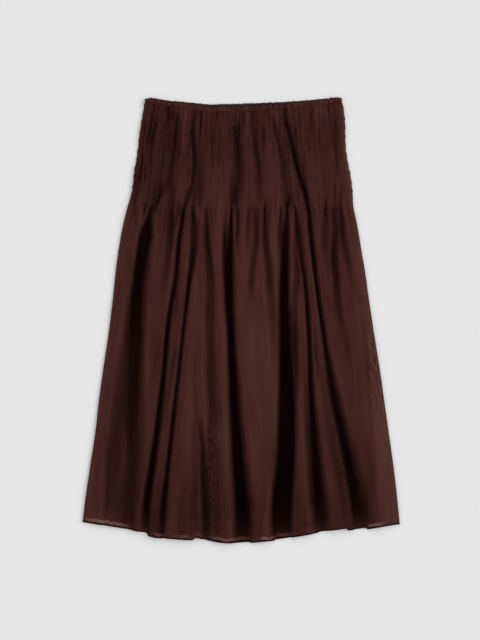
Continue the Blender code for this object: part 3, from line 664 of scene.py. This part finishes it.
def voileGroup():
    # plain weave of fine uneven threads: the height is the product of two sines plus the slubs, and the tone
    # drifts along the threads
    group = bpy.data.node_groups.new("voileWeave", "ShaderNodeTree")
    group.interface.new_socket(name="Map", in_out="INPUT", socket_type="NodeSocketVector")
    for name in ("Thread", "Slub"):
        socket = group.interface.new_socket(name=name, in_out="INPUT", socket_type="NodeSocketFloat")
        socket.default_value = weave[name.lower()]
    for name in ("Tone", "Height"):
        group.interface.new_socket(name=name, in_out="OUTPUT", socket_type="NodeSocketFloat")
    source = addNode(group, "NodeGroupInput", -1100, 0)
    result = addNode(group, "NodeGroupOutput", 700, 0)

    def stretchedNoise(scaleX, scaleY, detail, y):
        mapping = addNode(group, "ShaderNodeMapping", -850, y)
        mapping.inputs["Scale"].default_value = (scaleX, scaleY, 1.0)
        group.links.new(source.outputs["Map"], mapping.inputs["Vector"])
        noise = addNode(group, "ShaderNodeTexNoise", -670, y)
        noise.inputs["Scale"].default_value = 1.0
        noise.inputs["Detail"].default_value = detail
        group.links.new(mapping.outputs["Vector"], noise.inputs["Vector"])
        return noise.outputs["Fac"]

    warpSlub = stretchedNoise(*weave["warpSlub"], 300)
    weftSlub = stretchedNoise(*weave["weftSlub"], 0)
    drift = stretchedNoise(*weave["drift"], -300)
    split = addNode(group, "ShaderNodeSeparateXYZ", -850, -550)
    group.links.new(source.outputs["Map"], split.inputs[0])
    threads = []
    for axis, row in (("X", -500), ("Y", -700)):
        turn = mathNode(group, "MULTIPLY", (split.outputs[axis], source.outputs["Thread"]), -600, row)
        threads.append(mathNode(group, "SINE", (turn,), -420, row))
    crossing = mathNode(group, "MULTIPLY", threads, -240, -600)
    weftPart = mathNode(group, "MULTIPLY", (weftSlub, weave["weftShare"]), -420, 0)
    slubs = mathNode(group, "ADD", (warpSlub, weftPart), -240, 150)
    slubHeight = mathNode(group, "MULTIPLY", (slubs, source.outputs["Slub"]), -60, 150)
    low = mathNode(group, "MULTIPLY", (crossing, weave["crossing"]), -60, -600)
    height = mathNode(group, "ADD", (low, slubHeight), 250, -200)
    slubTone = mathNode(group, "MULTIPLY", (slubs, weave["slubTone"]), 60, 300)
    group.links.new(mathNode(group, "ADD", (slubTone, drift), 250, 250), result.inputs["Tone"])
    group.links.new(height, result.inputs["Height"])
    return group


voileWeave = voileGroup()

# linear colours read off the lit cloth, its folds and its single layer in the photo, then corrected
cloth = {
    "lit": (0.050, 0.0150, 0.0112, 1.0),
    "pale": (0.072, 0.0260, 0.0205, 1.0),
    # painted shade: the near-black colour mixed in where folds, tuck gaps and crumples are shaded
    "fold": (0.0032, 0.0009, 0.0005, 1.0),
    # painted light: the pale floor seen through one sheer layer, and the highlight on the right edge
    "seeThroughLight": (0.186, 0.0920, 0.0820, 1.0),
    "seamDark": (0.016, 0.0048, 0.0035, 1.0),
    "seamPale": (0.031, 0.0098, 0.0073, 1.0),
    "inside": (0.033, 0.0215, 0.0190, 1.0),
    "insidePale": (0.044, 0.0290, 0.0255, 1.0),
    "paintedShadeCurve": 1.4,
    "foldStreaks": 0.35,
    "weaveTones": (0.65, 1.15),     # tones of the weave between the lit and the pale colour
    "roughness": 0.62,
    "roughSpread": (0.06, -0.08),
    "weaveDepth": 0.00006,
    "weaveStrength": 0.6,
}

hemStrip = {
    # where the front hem hangs past the back, one sheer layer shows the pale floor, painted as light: x and
    # how much
    "x": (-284, -276, -262, -235, -215, -205, -197, -184, -170, -165, -160, -150, -141, -132, -115,
          -104, -98, -90, -82, -77, -70, -61, -53, -44, -22, -12, 10, 20, 34, 40, 52, 58, 64, 74,
          88, 96, 101, 132, 140, 190, 203, 212, 227, 231, 244, 252, 262, 270, 284),
    "share": (0, 0.6, 0.72, 0.6, 0.5, 0.25, 0.03, 0.05, 0.05, 0, 0.05, 0.4, 0.22, 0.0, 0.1,
              0.3, 0.33, 0.1, 0.05, 0.2, 0, 0.03, 0.15, 0.42, 0.5, 0.25, 0.15, 0.03, 0.1, 0.8, 0.42, 0.2,
              0.1, 0.22, 0.18, 0.03, 0, 0, 0, 0, 0, 0, 0.03, 0.5, 0.75, 0.45, 0.12, 0.03, 0),
    "high": 8.9,   # the strip's upper and lower edge above the hem
    "low": 3.9,
    "wobble": 0.9,
    "waves": (22, 1e6, 51),
    "soft": 2.4,
    "foldLift": 0.32,   # the folds' shade fades towards the hem by this much, over this length
    "foldFade": 16.0,
}


def voileMaterial(name, base, paintedShadeAmount=1.0, paler=cloth["pale"]):
    # base tone drifting with the slubs, darker by a power of the painted shade in folds and gaps, and paler
    # where it is single, painted light of the pale floor seen through it, in the hem's strip between two
    # heights and down the side
    material, shader = newMaterial(name, cloth["roughness"])
    tree = material.node_tree
    uv = addNode(tree, "ShaderNodeUVMap", -1500, 0, uv_map="cloth")
    threads = addNode(tree, "ShaderNodeGroup", -1250, 0, node_tree=voileWeave)
    threads.inputs["Thread"].default_value = weave["thread"]
    threads.inputs["Slub"].default_value = weave["slub"]
    tree.links.new(uv.outputs["UV"], threads.inputs["Map"])
    weaveTone = threads.outputs["Tone"]

    def value(name, y):
        return addNode(tree, "ShaderNodeAttribute", -1000, y, attribute_name=name).outputs["Fac"]

    paleShare = rangeNode(tree, weaveTone, cloth["weaveTones"], x=-1000, y=200)
    drifting = mixColour(tree, paleShare, base, paler, -760, 200)
    # the slubs shift the half tones only
    curves = (cloth["paintedShadeCurve"] - cloth["foldStreaks"], cloth["paintedShadeCurve"] + cloth["foldStreaks"])
    streaks = rangeNode(tree, weaveTone, cloth["weaveTones"], curves, -1000, -450)
    paintedShadeCurve = mathNode(tree, "POWER", (value("paintedShade", -50), streaks), -840, -50, clamp=True)
    paintedShadeMask = mathNode(tree, "MULTIPLY", (paintedShadeCurve, paintedShadeAmount), -680, -50, clamp=True)
    shaded = mixColour(tree, paintedShadeMask, drifting, cloth["fold"], -520, 150)
    fromHem = value("fromHem", -700)
    high, low, soft = hemStrip["high"], hemStrip["low"], hemStrip["soft"] / 2
    above = rangeNode(tree, fromHem, (high + soft, high - soft), x=-840, y=-700, kind="SMOOTHSTEP")
    below = rangeNode(tree, fromHem, (low - soft, low + soft), x=-840, y=-1000, kind="SMOOTHSTEP")
    strip = mathNode(tree, "MULTIPLY", (above, below), -750, -900)
    atHem = mathNode(tree, "MULTIPLY", (strip, value("stripShare", -850)), -660, -700)
    seeThroughLight = mathNode(tree, "MAXIMUM", (atHem, value("paintedPaleLight", -250)), -480, -700)
    colour = mixColour(tree, seeThroughLight, shaded, cloth["seeThroughLight"], -280, 150)
    tree.links.new(colour, shader.inputs["Base Color"])
    limits = [cloth["roughness"] + spread for spread in cloth["roughSpread"]]
    rough = rangeNode(tree, weaveTone, cloth["weaveTones"], limits, -520, -150)
    tree.links.new(rough, shader.inputs["Roughness"])
    depth, strength = cloth["weaveDepth"], cloth["weaveStrength"]
    addRelief(tree, shader, threads.outputs["Height"], depth, strength, -280, -350)
    return material


frontVoile = voileMaterial("frontVoile", cloth["lit"])
backVoile = voileMaterial("backVoile", cloth["lit"])
hemVoile = voileMaterial("hemVoile", cloth["seamDark"], 0.3, cloth["seamPale"])
casingVoile = voileMaterial("casingVoile", cloth["lit"], 0.8)
insideVoile = voileMaterial("insideVoile", cloth["inside"], 0.9, cloth["insidePale"])
print("stage: materials made")

frontPanel = {
    "wall": 0.4,
    "yokeRows": 44,
    "skirtRows": 86,
    "rowEase": 0.275,       # how much closer the rows lie at the release and at the hem
    "carriedRow": 2,        # the row of the yoke whose folds run on into the casing
    "tuckJitter": 0.35,
    "releaseDrop": 2.5,     # how unevenly the tucks end
    # low uneven ripples over all the cloth, with the waves of their noise
    "ripple": 0.30,
    "rippleWaves": (34, 260, 5),
    "yokeRipple": 0.45,
    "yokeRippleWaves": (26, 120, 8),
    "rise": 1.0,            # the cloth's outer side above the height where the solids start
    "liftAtHem": 0.4,
    "liftAtWaist": 1.2,
    "liftReach": 28.0,
    "cutWidthWaist": 0.50,
    "cutWidthHem": 0.66,
    "cutLength": 0.80,
}


def spacedRows():
    # shares of the yoke, then of the length below the release: even steps mixed with eased ones
    t = np.linspace(0, 1, frontPanel["skirtRows"] + 1)[1:]
    ease = frontPanel["rowEase"]
    return np.linspace(0, 1, frontPanel["yokeRows"]), (1 - ease) * t + ease * eased(t)


def tuckRelief(x, y, top, inYoke):
    # how high the tucks stand: a cosine ridge and a low arched lap beside it, both fading below the release;
    # the second value is the painted shade in the gaps beside the ridges
    number = columnTable[:, 4].astype(int)
    phase = columnTable[:, 3]
    tall = 1 + frontPanel["tuckJitter"] * rng.uniform(-1, 1, tuckCount)[number]
    ends = release + frontPanel["releaseDrop"] * rng.uniform(-1, 1, tuckCount)[number]
    fade = tucks["flare"] * rng.uniform(*tucks["flareSpread"], tuckCount)[number]
    gapShade = rng.uniform(*tucks["gapSpread"], tuckCount)[number]
    ridge = bump((phase - tucks["crest"]) / tucks["crest"]) * (phase < tucks["foot"])
    lap = np.sin(math.pi * np.clip((phase - tucks["foot"]) / (1 - tucks["foot"]), 0, 1))
    down = (ends - y) / fade
    strength = (1 + tucks["swell"] * np.sin(math.pi * np.clip(down * 2, 0, 1))) * (1 - eased(down))
    nearTop = np.exp(-(top - y) / tucks["topReach"])
    shows = np.interp(x, tucks["showAtX"], tucks["showLow"])
    shows = shows + (np.interp(x, tucks["showAtX"], tucks["showTop"]) - shows) * nearTop
    patchy = tucks["patchMean"] + tucks["patchSwing"] * softNoise(x, y, *tucks["patchWaves"])
    patchy = np.clip(patchy, *tucks["patchLimits"])
    shown = tall * strength * (shows * patchy * inYoke + tucks["shownBelow"] * (1 - inYoke))
    gap = bump(phase / tucks["gapHalf"]) + bump((phase - 1) / tucks["gapHalf"])
    gap = gap + tucks["gapAtFoot"] * bump((phase - tucks["foot"]) / tucks["gapHalf"])
    paintedGapShade = np.clip(gap * shown * tucks["shade"] * gapShade, 0, tucks["gapMost"])
    return (tucks["height"] * ridge + tucks["lapArch"] * lap) * shown, paintedGapShade


# crumpled strips inside the folds: slanted waves, as high as these, with painted shade and light as strong as
# these
crumple = {
    "strips": (
        dict(y=(-180, -200, -235, -262, -295, -378), x=(-60, -59, -57, -56, -54, -50),
             strength=(0.0, 0.8, 1.0, 1.0, 0.8, 0.6), half=18.0),
        dict(y=(-236, -258, -290, -330), x=(177, 181, 187, 193), strength=(0.0, 0.8, 0.8, 0.0), half=10.0),
        dict(y=(212, 196, 178, 160), x=(-150, -154, -158, -160), strength=(0.0, 0.5, 0.5, 0.0), half=12.0),
    ),
    "waveX": 12.0,
    "waveY": 17.0,
    "bend": 1.3,
    "bendWaves": (24, 40, 41),
    "height": 0.5,
    "shade": 0.42,
}


def crumpling(x, y):
    # slanted waves inside the crumpled strips, from -1 to 1 where a strip is strongest
    slant = 2 * math.pi * (x / crumple["waveX"] + y / crumple["waveY"])
    slant = slant + crumple["bend"] * softNoise(x, y, *crumple["bendWaves"])
    inStrips = 0 * x
    for strip in crumple["strips"]:
        strength = through(strip["y"], strip["strength"], y) * (y < strip["y"][0])
        inStrips = inStrips + strength * bump((x - through(strip["y"], strip["x"], y)) / strip["half"])
    return inStrips * np.sin(slant)


# painted shade, slow across the cloth, by the share of its width: the yoke, then the skirt, and down its
# length; it stands for the lining and doubled layers below and for uneven light
tone = {
    "yokeShare": (0, 0.06, 0.14, 0.18, 0.21, 0.24, 0.3, 0.4, 0.5, 0.62, 0.75, 0.9, 0.96, 1),
    "yoke": (0.32, 0.44, 0.42, 0.36, 0.22, 0.22, 0.22, 0.18, 0.08, 0.06, 0.23, 0.25, 0.34, 0.0),
    "skirtShare": (0, 0.03, 0.08, 0.16, 0.24, 0.29, 0.36, 0.43, 0.5, 0.6, 0.66, 0.72, 0.78, 0.85, 0.92,
                   0.96, 1),
    "skirt": (0.0, 0.12, 0.18, 0.28, 0.33, 0.14, 0.16, 0.05, 0, 0, 0.05, 0.1, 0.23, 0.25, 0.26,
              0.17, 0.1),
    "y": (399, 385, 368, 345, 320, 260, 200, 150, -100, -200, -270, -333, -392),
    "deeper": (0.0, 0.03, 0.17, 0.28, 0.31, 0.22, 0.12, 0, 0, 0.08, 0.2, 0.36, 0.4),
    "deeperShare": (0, 0.08, 0.2, 0.8, 0.93, 1),
    "deeperKept": (0.1, 0.4, 1.0, 1.0, 0.5, 0.0),
}


def paintedSlowShade(x, y, inYoke):
    # painted shade: how dark the cloth is across its width, in the yoke and below it, and how much darker
    # at some heights
    share = (x - side("left", y)) / (side("right", y) - side("left", y))
    across = np.interp(share, tone["yokeShare"], tone["yoke"]) * inYoke
    across = across + np.interp(share, tone["skirtShare"], tone["skirt"]) * (1 - inYoke)
    deeper = np.interp(-y, -np.array(tone["y"]), tone["deeper"])
    return across, deeper * np.interp(share, tone["deeperShare"], tone["deeperKept"])


def frontSurface():
    # the front cloth's outer side: tucked yoke above, folds below, with the painted shade of each point
    # from its folds, the gaps beside the tucks, the crumples and the slow tone
    atHem = columnX(np.full((1, len(columnTable)), levelHem))[0]
    atWaist = columnX(np.full((1, len(columnTable)), levelTop))[0]
    hem = hemY(atHem)
    top = frontWaistY(atWaist) - waistLine["casingHeight"] + waistLine["tuckedIn"]
    yokeShare, skirtShare = spacedRows()
    yoke = top + yokeShare[:, None] * (release - top)
    below = skirtShare[:, None]
    skirt = release + below * (hemArc(atHem) - release) + below ** hemLine["endPower"] * (hem - hemArc(atHem))
    y = np.concatenate([yoke, skirt])
    x = columnX(y)
    height, paintedShade = foldHeight(x, y)
    inYoke = fadedIn(y - release, tucks["yokeFade"])
    tuckHeight, paintedGapShade = tuckRelief(x, y, top, inYoke)
    crumpled = crumpling(x, y)
    across, deeper = paintedSlowShade(x, y, inYoke)
    ripple = frontPanel["ripple"] * softNoise(x, y, *frontPanel["rippleWaves"]) * (1 - inYoke)
    ripple = ripple + frontPanel["yokeRipple"] * softNoise(x, y, *frontPanel["yokeRippleWaves"]) * inYoke
    ripple = ripple + crumple["height"] * crumpled
    base = frontLow + frontPanel["liftAtHem"] * np.exp(-(y - hem) / frontPanel["liftReach"])
    base = base + frontPanel["liftAtWaist"] * np.exp(-(top - y) / frontPanel["liftReach"])
    z = base + frontPanel["rise"] + np.maximum(height + tuckHeight + ripple, 0.0)
    # painted shade of folds, tuck gaps and slow tone, with painted shade and light along the crumples
    clear = (1 - paintedShade) * (1 - paintedGapShade) * (1 - across) * (1 - deeper) * (1 + crumple["shade"] * crumpled)
    return x, y, z, np.clip(1 - clear, 0, 1), hem


edgeStrip = {
    # the strip down the right side where the cloth lies single over the back, painted paler as light seen
    # through
    "sideY": (20, -27, -144, -252, -351, -392),
    "sideX": (226, 227, 231, 240, 247, 250),
    "sidePale": 0.08,
    "sideSoft": 4.0,
    "sideFade": 60.0,
    # the right edge catches the light: heights, how much paler, and how far in
    "rimY": (400, 385, 335, 200, 110, -20, -110),
    "rim": (0.04, 0.12, 0.19, 0.14, 0.12, 0.12, 0.08),
    "rimReach": 9.0,
    # the side strip is crinkled over its upper half: how strongly, its waves, where it ends and fades
    "crinkle": 1.6,
    "crinkleWaves": (9, 17, 61),
    "crinkleY": (0.0, -200.0),
    "crinkleFade": (20.0, 70.0),
    "crinkleMost": 3.0,
}


def seeThroughAndRimLight(x, y):
    # how much painted light the cloth gets: light seen through where it lies single down the right side,
    # crinkled, and a painted highlight along the right edge
    toSide = x - np.interp(-y, -np.array(edgeStrip["sideY"]), edgeStrip["sideX"])
    (crinkleTop, crinkleEnd), (topFade, endFade) = edgeStrip["crinkleY"], edgeStrip["crinkleFade"]
    crinkled = edgeStrip["crinkle"] * softNoise(x, y, *edgeStrip["crinkleWaves"])
    crinkled = crinkled * eased((crinkleTop - y) / topFade) * eased((y - crinkleEnd) / endFade)
    strip = eased(toSide / edgeStrip["sideSoft"]) * fadedIn(-y, edgeStrip["sideFade"])
    strip = edgeStrip["sidePale"] * strip * np.clip(1 + crinkled, 0, edgeStrip["crinkleMost"])
    rim = np.interp(-y, -np.array(edgeStrip["rimY"], float), edgeStrip["rim"])
    return strip + rim * bump((side("right", y) - x) / edgeStrip["rimReach"])


def buildFront():
    # the front cloth as a shell, its map unrolled along the hem, with the values that its material reads
    x, y, z, paintedShade, hem = frontSurface()
    y[-1] += hemLine["width"]
    panel = meshFrom("skirtFront", gridPoints(x, y, z), gridFaces(*x.shape))
    unrolled = np.concatenate([[0], np.cumsum(np.hypot(np.diff(x[-1]), np.diff(z[-1])))])
    addMap(panel, unrolled, y)
    fromHem = y - hem
    waved = fromHem + hemStrip["wobble"] * softNoise(x, 0 * x, *hemStrip["waves"])
    strip = np.interp(x[-1], hemStrip["x"], hemStrip["share"])
    addValue(panel, "paintedShade", paintedShade * (1 - hemStrip["foldLift"] * np.exp(-fromHem / hemStrip["foldFade"])))
    # painted light where one layer shows the pale floor, along the hem and down the right side, and on the
    # right rim
    addValue(panel, "fromHem", waved)
    addValue(panel, "stripShare", np.broadcast_to(strip, y.shape))
    addValue(panel, "paintedPaleLight", seeThroughAndRimLight(x, y))
    thicken(panel, frontPanel["wall"])
    finishPiece(panel, frontVoile, "front_voile", "front_panel")
    print("stage: front panel", len(panel.data.polygons), "faces")
    row = frontPanel["carriedRow"]
    return panel, x[-1], hem, z[-1], x[row], paintedShade[row]


frontPiece, hemX, hemEdge, hemZ, yokeX, yokePaintedShade = buildFront()

# points round the roll, how square and how thick it is, how far its middle lies below the cloth, and the
# length of map from one point to the next
hemRoll = {"points": 12, "squareness": 2.6, "thick": 1.5, "sunk": 0.5, "mapStep": 0.6}


def rolledHem(name, x, y, z, thick, node):
    # a flattened roll carried along the hem: an oval ring at each point, turned to stand square on its line
    wide, high = ovalRing(hemRoll["points"], hemRoll["squareness"], hemLine["width"], thick)
    slopeX, slopeZ = np.gradient(x), np.gradient(z)
    length = np.hypot(slopeX, slopeZ)
    px = x - high * (slopeZ / length)
    pz = z + high * (slopeX / length)
    py = y + hemLine["width"] / 2 + wide
    piece = meshFrom(name, gridPoints(px, py, pz), gridFaces(*px.shape, closed=True))
    addMap(piece, x, np.broadcast_to(np.arange(hemRoll["points"])[:, None] * hemRoll["mapStep"], px.shape))
    finishPiece(piece, hemVoile, "hem_voile", node)
    return piece


hemMiddle = hemZ - hemRoll["sunk"]
frontHemPiece = rolledHem("frontHemRoll", hemX, hemEdge, hemMiddle, hemRoll["thick"], "front_hem")
print("stage: front hem")

back = {"columns": 321, "rows": 96, "wall": 0.4, "pressed": 0.3, "tuckHalf": 0.2, "tuckEnd": 10.0,
        "tuckFade": 60.0, "lift": 0.5, "shade": 0.55}


def buildBack():
    # the back cloth lies flat with its tucks pressed on its underside, and creases like the front's, seen
    # from behind, that lift a little off the floor
    share = np.linspace(0, 1, back["columns"])[None, :]
    down = np.linspace(0, 1, back["rows"])[:, None]

    def acrossAt(y, share):
        return side("left", y) * (1 - share) + side("right", y) * share

    atHem = outline["halfHem"] * (2 * share - 1)
    top = waistY(acrossAt(levelTop, share)) - waistLine["casingHeight"] - waistLine["gap"]
    y = top + down * (backHemY(atHem) + hemLine["width"] - top)
    x = acrossAt(y, share)
    phase = (share * tuckCount) % 1
    inYoke = fadedIn(y - release + back["tuckEnd"], back["tuckFade"])
    pressed = bump((phase - back["tuckHalf"]) / back["tuckHalf"]) * inYoke * back["pressed"]
    creased = foldHeight(-x, y)[1]
    z = backTop - pressed * (1 - creased) + back["lift"] * creased
    piece = meshFrom("skirtBack", gridPoints(x, y, z), gridFaces(*x.shape))
    addMap(piece, share * 2 * outline["halfHem"], y)
    # painted shade on the pressed tucks and along the creases
    addValue(piece, "paintedShade", 1 - (1 - pressed) * (1 - back["shade"] * creased))
    thicken(piece, back["wall"])
    finishPiece(piece, backVoile, "back_voile", "back_panel")
    edgeY = backHemY(atHem)[0]
    edgeX = acrossAt(edgeY, share[0])
    middle = np.full(back["columns"], backHemTop / 2)
    return piece, rolledHem("backHemRoll", edgeX, edgeY, middle, backHemTop, "back_hem")


backPiece, backHemPiece = buildBack()
print("stage: back panel")

casing = {
    "height": 9.0, "wall": 2.2, "squareness": 3.2, "points": 24, "columnsPerTuck": 10,
    # gathers: height in front and behind, waves of the noise, and its mean, swing and limit
    "gather": 0.9, "innerGather": 0.2, "gatherWaves": (9.0, 1e6, 21), "fineWaves": (3.5, 1e6, 22),
    "fine": 0.5, "gatherMean": 0.5, "gatherSwing": 0.45, "gatherMost": 1.1,
    "topWave": 0.3,     # how much the waist edge moves with them
    # shade of the front at its top and foot, with the share of the cloth's folds that runs on into it
    "shade": (0.14, 0.02), "carried": (0.2, 0.75),
    # shade of the back, seen inside the waist, at its top and foot
    "inner": (0.05, 0.9),
    # painted light and shade that follow the gathers, and the most shade
    "gatherShade": 0.17, "shadeMost": 0.85,
}


def casingGathers(x, upGather):
    # uneven gathers: how far they stand up, and the noise behind them
    noise = softNoise(x, 0 * x, *casing["gatherWaves"])
    noise = noise + casing["fine"] * softNoise(x, 0 * x, *casing["fineWaves"])
    stand = np.clip(casing["gatherMean"] + casing["gatherSwing"] * noise, 0, casing["gatherMost"])
    return upGather * stand, noise


def buildCasing(name, topLine, seat, upGather, material, slotName, node, shade, carried=(0, 0)):
    # a soft flattened tube: an oval ring across its height, with uneven gathers that run on from the cloth
    x = np.linspace(side("left", levelTop), side("right", levelTop), tuckCount * casing["columnsPerTuck"] + 1)
    gathers, gathered = casingGathers(x, upGather)
    wide, high = ovalRing(casing["points"], casing["squareness"], casing["height"], casing["wall"])
    top = topLine(x) + casing["topWave"] * gathered
    py = top - casing["height"] / 2 + wide
    pz = seat + casing["wall"] / 2 + high + np.maximum(high, 0) / casing["wall"] * 2 * gathers
    piece = meshFrom(name, gridPoints(x, py, pz), gridFaces(*py.shape, closed=True))
    addMap(piece, x, py)
    # painted shade from the top to the foot, with the yoke's fold shade carried on, and with the gathers
    down = np.clip((top - py) / casing["height"], 0, 1)
    folds = np.interp(x, yokeX, yokePaintedShade)
    paintedShade = (shade[0] + carried[0] * folds) * (1 - down) + (shade[1] + carried[1] * folds) * down
    addValue(piece, "paintedShade", np.clip(paintedShade - casing["gatherShade"] * gathered, 0, casing["shadeMost"]))
    finishPiece(piece, material, slotName, node)
    return piece


frontCasing = buildCasing("frontCasing", frontWaistY, casingLow, casing["gather"], casingVoile,
                          "casing_voile", "front_casing", casing["shade"], casing["carried"])
backCasing = buildCasing("backCasing", waistY, 0.0, casing["innerGather"], insideVoile,
                         "casing_inside_voile", "back_casing", casing["inner"])
print("stage: casings")

# pitch, length and width of the stitches, and where each row runs: below the waist, and up the hem's roll
thread = {
    "casing": {"pitch": 3.2, "long": 2.3, "wide": 0.55, "down": 7.2, "fromEnds": 2.0, "slant": 0.35,
               "material": "casingThread", "colour": (0.085, 0.0265, 0.0235, 1.0)},
    "hem": {"pitch": 2.6, "long": 1.9, "wide": 0.4, "place": 0.6, "fromEnds": 3.0,
            "material": "hemThread", "colour": (0.030, 0.0090, 0.0070, 1.0)},
    "roughness": 0.55,
    "ridges": 900.0,
    "ridgeDepth": 0.0001,
    "paintedGrooveShade": 0.6,
}


def threadMaterial(name, colour):
    # twisted thread: fine slanted ridges along each stitch, lower between them, with painted shade there
    material, shader = newMaterial(name, thread["roughness"])
    tree = material.node_tree
    place = addNode(tree, "ShaderNodeTexCoord", -900, 0)
    ridges = addNode(tree, "ShaderNodeTexWave", -700, 0, wave_type="BANDS", bands_direction="DIAGONAL")
    ridges.inputs["Scale"].default_value = thread["ridges"]
    tree.links.new(place.outputs["Object"], ridges.inputs["Vector"])
    paintedGrooveShade = tuple(thread["paintedGrooveShade"] * part for part in colour[:3]) + (1.0,)
    shade = mixColour(tree, ridges.outputs["Fac"], paintedGrooveShade, colour, -450, 100)
    tree.links.new(shade, shader.inputs["Base Color"])
    addRelief(tree, shader, ridges.outputs["Fac"], thread["ridgeDepth"], x=-450, y=-200)
    return material


def stitchRow(name, x, y, z, slope, row, slotName):
    # every stitch is a short spindle: two rings of four points between its pointed ends, laid along the slope
    lengthwise = np.array((-0.5,) + (-0.3,) * 4 + (0.3,) * 4 + (0.5,)) * row["long"]
    turn = np.array((0, 0, 1, 2, 3, 0, 1, 2, 3, 0)) * math.pi / 2
    radius = np.array((0,) + (1,) * 8 + (0,)) * row["wide"] / 2
    across, up = radius * np.cos(turn), radius * np.sin(turn)
    runX, runY = np.cos(slope)[:, None], np.sin(slope)[:, None]
    px = x[:, None] + lengthwise * runX - across * runY
    py = y[:, None] + lengthwise * runY + across * runX
    k = np.arange(4)
    after = (k + 1) % 4
    tipA = np.stack([0 * k, 1 + after, 1 + k], axis=-1)
    tipB = np.stack([0 * k + 9, 5 + k, 5 + after], axis=-1)
    sideA = np.stack([1 + k, 1 + after, 5 + after], axis=-1)
    sideB = np.stack([1 + k, 5 + after, 5 + k], axis=-1)
    faces = np.concatenate([tipA, tipB, sideA, sideB]) + 10 * np.arange(len(x))[:, None, None]
    piece = meshFrom(name, gridPoints(px, py, z[:, None] + up), faces.reshape(-1, 3))
    finishPiece(piece, threadMaterial(row["material"], row["colour"]), slotName)


row = thread["casing"]
startX, endX = side("left", levelTop) + row["fromEnds"], side("right", levelTop) - row["fromEnds"]
stitchX = np.arange(startX, endX, row["pitch"])
stitchY = frontWaistY(stitchX) - row["down"]
stitchZ = casingLow + casing["wall"] + casingGathers(stitchX, casing["gather"])[0]
zigzag = row["slant"] * (-1.0) ** np.arange(len(stitchX))
stitchRow("casingStitches", stitchX, stitchY, stitchZ, zigzag, row, "casing_voile")
row = thread["hem"]
endX = outline["halfHem"] - row["fromEnds"]
stitchX = np.arange(-endX, endX, row["pitch"])
stitchY = np.interp(stitchX, hemX, hemEdge) + hemLine["width"] * row["place"]
stitchZ = np.interp(stitchX, hemX, hemMiddle) + hemRoll["thick"] / 2
hemSlope = np.arctan(np.gradient(stitchY, stitchX))
stitchRow("hemStitches", stitchX, stitchY, stitchZ, hemSlope, row, "hem_voile")
print("stage: stitches")

# stage: pale floor, soft light from the upper right, even fill
stage = {"floor": (0.80, 0.80, 0.80, 1.0), "floorHalf": 4000.0, "floorRoughness": 0.9, "fill": 0.76,
         "key": 1.42, "keySpread": 50.0, "keyFrom": (1.5, 0.2, 0.95)}
corners = np.array(((-1, 1, 0), (-1, -1, 0), (1, -1, 0), (1, 1, 0))) * stage["floorHalf"]
floorPiece = meshFrom("floor", corners, [(0, 1, 2, 3)])
floorMaterial, floorShader = newMaterial("paleFloor", stage["floorRoughness"])
floorShader.inputs["Base Color"].default_value = stage["floor"]
floorPiece.data.materials.append(floorMaterial)

world = bpy.data.worlds.new("studio")
world.use_nodes = True
world.node_tree.nodes["Background"].inputs["Color"].default_value = (1, 1, 1, 1)
world.node_tree.nodes["Background"].inputs["Strength"].default_value = stage["fill"]
bpy.context.scene.world = world

keyData = bpy.data.lights.new("key", "SUN")
keyData.angle = math.radians(stage["keySpread"])
keyData.energy = stage["key"]
key = bpy.data.objects.new("key", keyData)
key.location = stage["keyFrom"]
key.rotation_euler = (-key.location).to_track_quat("-Z", "Y").to_euler()
bpy.context.scene.collection.objects.link(key)
bpy.context.scene.view_settings.view_transform = "Standard"
print("stage: lights and camera")
